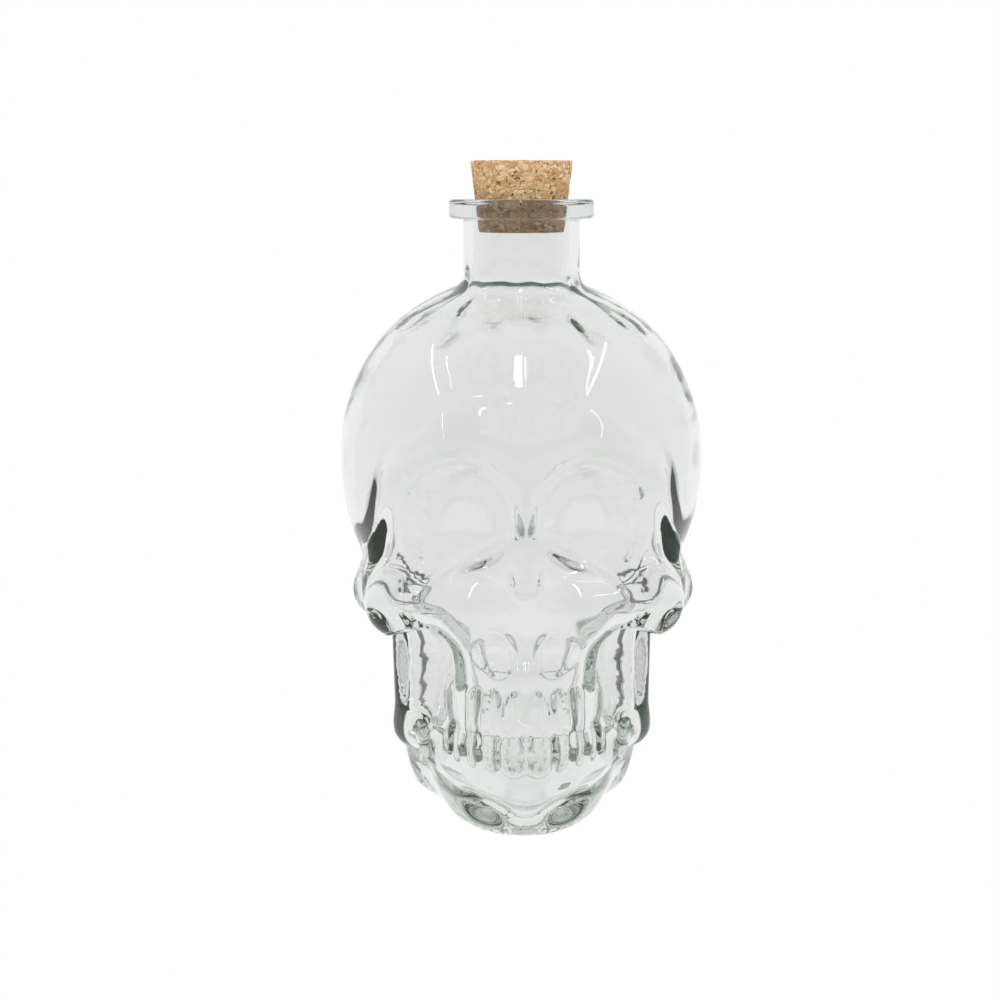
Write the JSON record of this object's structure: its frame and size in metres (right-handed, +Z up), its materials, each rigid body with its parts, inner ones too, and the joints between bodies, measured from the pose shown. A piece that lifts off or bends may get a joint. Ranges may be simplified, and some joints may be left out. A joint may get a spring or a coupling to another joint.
{
  "type": "skull bottle",
  "caption": "Clear blown glass bottle shaped as a human skull, with a round neck, a flat lip and a tapered cork stopper.",
  "frame": {"origin": "on the surface that the bottle stands on, under the middle of its box", "axes": "+Z up along the neck, the face looks along -Y, +X is the side on the viewer's right"},
  "size_m": [0.0956, 0.1116, 0.1717],
  "materials": {
    "clear_glass": "clear, fire-polished from the mould",
    "cork": "agglomerated cork, ground to a taper"
  },
  "bodies": {
    "bottle": {"skull_bottle": "clear_glass"},
    "cork": {"cork_stopper": "cork"}
  },
  "joints": [
    {"name": "cork_pull", "type": "slide", "parent": "bottle", "child": "cork", "axis": [0, 0, 1], "range_m": [0, 0.02]}
  ]
}
